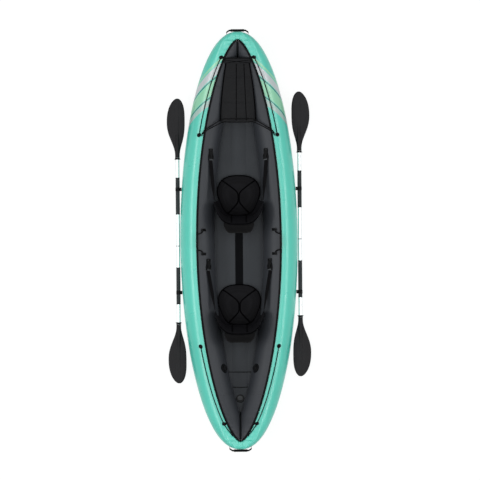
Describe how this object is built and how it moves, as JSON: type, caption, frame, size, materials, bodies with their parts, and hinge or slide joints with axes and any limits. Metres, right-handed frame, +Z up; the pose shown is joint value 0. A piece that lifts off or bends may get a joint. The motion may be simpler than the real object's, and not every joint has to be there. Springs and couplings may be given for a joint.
{
  "type": "inflatable kayak",
  "caption": "Inflatable tandem kayak with a grooved air floor, padded seats with hinged strapped backs, bungee decks, carrying handles and feathering paddles held in side clips.",
  "frame": {"origin": "on the ground under the middle of the hull", "axes": "+Y to the bow, +X to starboard, +Z up; the flat of the floor lies on z = 0"},
  "size_m": [1.1334, 3.3428, 0.453],
  "materials": {
    "pvc_teal": "satin coated fabric",
    "pvc_grey": "satin coated fabric",
    "floor_pvc": "satin coated fabric",
    "hem_pvc": "satin",
    "strip_fabric": "napped",
    "bag_fabric": "woven",
    "seat_fabric": "woven",
    "pouch_mesh": "mesh",
    "webbing": "woven",
    "bungee": "braided",
    "trim_plastic": "moulded",
    "valve_plastic": "moulded",
    "drain_plastic": "moulded",
    "shaft_metal": "anodised",
    "sleeve_plastic": "moulded",
    "button_steel": "polished",
    "grip_foam": "foam",
    "blade_plastic": "moulded",
    "ring_rubber": "moulded"
  },
  "bodies": {
    "hull": {"right_outer_panel": "pvc_teal", "left_outer_panel": "pvc_teal", "right_inner_panel": "pvc_grey", "left_inner_panel": "pvc_grey", "floor_chamber": "floor_pvc", "end_floor_panels": "floor_pvc", "floor_strip": "strip_fabric", "hem_piping": "hem_pvc", "bow_cord_tabs": "trim_plastic", "stern_cord_tabs": "trim_plastic", "bow_cords": "bungee", "stern_cords": "bungee", "bow_bag": "bag_fabric", "side_handle_tabs": "trim_plastic", "valve_bodies": "valve_plastic", "drain_body": "valve_plastic", "front_seat_pad": "seat_fabric", "front_seat_straps": "webbing", "front_buckles": "trim_plastic", "rear_seat_pad": "seat_fabric", "rear_seat_straps": "webbing", "rear_buckles": "trim_plastic", "paddle_clips": "trim_plastic"},
    "bow_handle": {"bow_handle_web": "webbing", "bow_handle_grip": "trim_plastic"},
    "stern_handle": {"stern_handle_web": "webbing", "stern_handle_grip": "trim_plastic"},
    "right_side_handle": {"right_handle_rope": "bungee", "right_handle_grip": "trim_plastic"},
    "left_side_handle": {"left_handle_rope": "bungee", "left_handle_grip": "trim_plastic"},
    "right_cap": {"right_valve_cap": "valve_plastic"},
    "left_cap": {"left_valve_cap": "valve_plastic"},
    "stern_drain_cap": {"drain_cap": "drain_plastic"},
    "front_back": {"front_backrest": "seat_fabric", "front_pouch": "pouch_mesh"},
    "rear_back": {"rear_backrest": "seat_fabric", "rear_pouch": "pouch_mesh"},
    "right_paddle": {"right_front_shaft": "shaft_metal", "right_front_blade": "blade_plastic", "right_front_grip": "grip_foam", "right_front_drip_ring": "ring_rubber", "right_sleeve": "sleeve_plastic"},
    "right_paddle_rear": {"right_rear_shaft": "shaft_metal", "right_rear_blade": "blade_plastic", "right_rear_grip": "grip_foam", "right_rear_drip_ring": "ring_rubber"},
    "right_paddle_button": {"right_button": "button_steel"},
    "left_paddle": {"left_front_shaft": "shaft_metal", "left_front_blade": "blade_plastic", "left_front_grip": "grip_foam", "left_front_drip_ring": "ring_rubber", "left_sleeve": "sleeve_plastic"},
    "left_paddle_rear": {"left_rear_shaft": "shaft_metal", "left_rear_blade": "blade_plastic", "left_rear_grip": "grip_foam", "left_rear_drip_ring": "ring_rubber"},
    "left_paddle_button": {"left_button": "button_steel"}
  },
  "joints": [
    {"name": "bow_handle_swing", "type": "hinge", "parent": "hull", "child": "bow_handle", "pos_m": [0, 1.63399, 0.40535], "axis": [1, 0, 0], "range_deg": [0, 90]},
    {"name": "stern_handle_swing", "type": "hinge", "parent": "hull", "child": "stern_handle", "pos_m": [0, -1.63399, 0.40535], "axis": [-1, 0, 0], "range_deg": [0, 90]},
    {"name": "right_handle_lift", "type": "hinge", "parent": "hull", "child": "right_side_handle", "pos_m": [0.28899, -0.01, 0.28889], "axis": [0, -1, 0], "range_deg": [0, 140]},
    {"name": "left_handle_lift", "type": "hinge", "parent": "hull", "child": "left_side_handle", "pos_m": [-0.28899, -0.01, 0.28889], "axis": [0, 1, 0], "range_deg": [0, 140]},
    {"name": "right_cap_turn", "type": "hinge", "parent": "hull", "child": "right_cap", "pos_m": [0.124, -1.014, 0.24003], "axis": [-0.7791, 0.2342, 0.5815], "range_deg": [0, 180]},
    {"name": "left_cap_turn", "type": "hinge", "parent": "hull", "child": "left_cap", "pos_m": [-0.124, -1.014, 0.24003], "axis": [0.7791, 0.2342, 0.5815], "range_deg": [0, 180]},
    {"name": "drain_cap_turn", "type": "hinge", "parent": "hull", "child": "stern_drain_cap", "pos_m": [0, -1.25581, 0.17273], "axis": [0, 0.3192, 0.9477], "range_deg": [0, 180]},
    {"name": "front_back_recline", "type": "hinge", "parent": "hull", "child": "front_back", "pos_m": [0, 0.1935, 0.12274], "axis": [1, 0, 0], "range_deg": [-12, 20], "deforming": ["front_seat_straps"]},
    {"name": "rear_back_recline", "type": "hinge", "parent": "hull", "child": "rear_back", "pos_m": [0, -0.6745, 0.12274], "axis": [1, 0, 0], "range_deg": [-12, 20], "deforming": ["rear_seat_straps"]},
    {"name": "right_paddle_slide", "type": "slide", "parent": "hull", "child": "right_paddle", "axis": [0, 1, 0], "range_m": [-0.1, 0.025]},
    {"name": "left_paddle_slide", "type": "slide", "parent": "hull", "child": "left_paddle", "axis": [0, 1, 0], "range_m": [-0.07, 0.07]},
    {"name": "right_feather", "type": "hinge", "parent": "right_paddle", "child": "right_paddle_rear", "pos_m": [0.484, 0.049, 0.142], "axis": [0, 1, 0], "range_deg": [-60, 60]},
    {"name": "right_button_press", "type": "slide", "parent": "right_paddle", "child": "right_paddle_button", "axis": [0, 0, -1], "range_m": [0, 0.0035], "stiffness_N_per_m": 400, "springref_m": -0.002},
    {"name": "left_feather", "type": "hinge", "parent": "left_paddle", "child": "left_paddle_rear", "pos_m": [-0.484, 0, 0.142], "axis": [0, 1, 0], "range_deg": [-60, 60]},
    {"name": "left_button_press", "type": "slide", "parent": "left_paddle", "child": "left_paddle_button", "axis": [0, 0, -1], "range_m": [0, 0.0035], "stiffness_N_per_m": 400, "springref_m": -0.002}
  ]
}
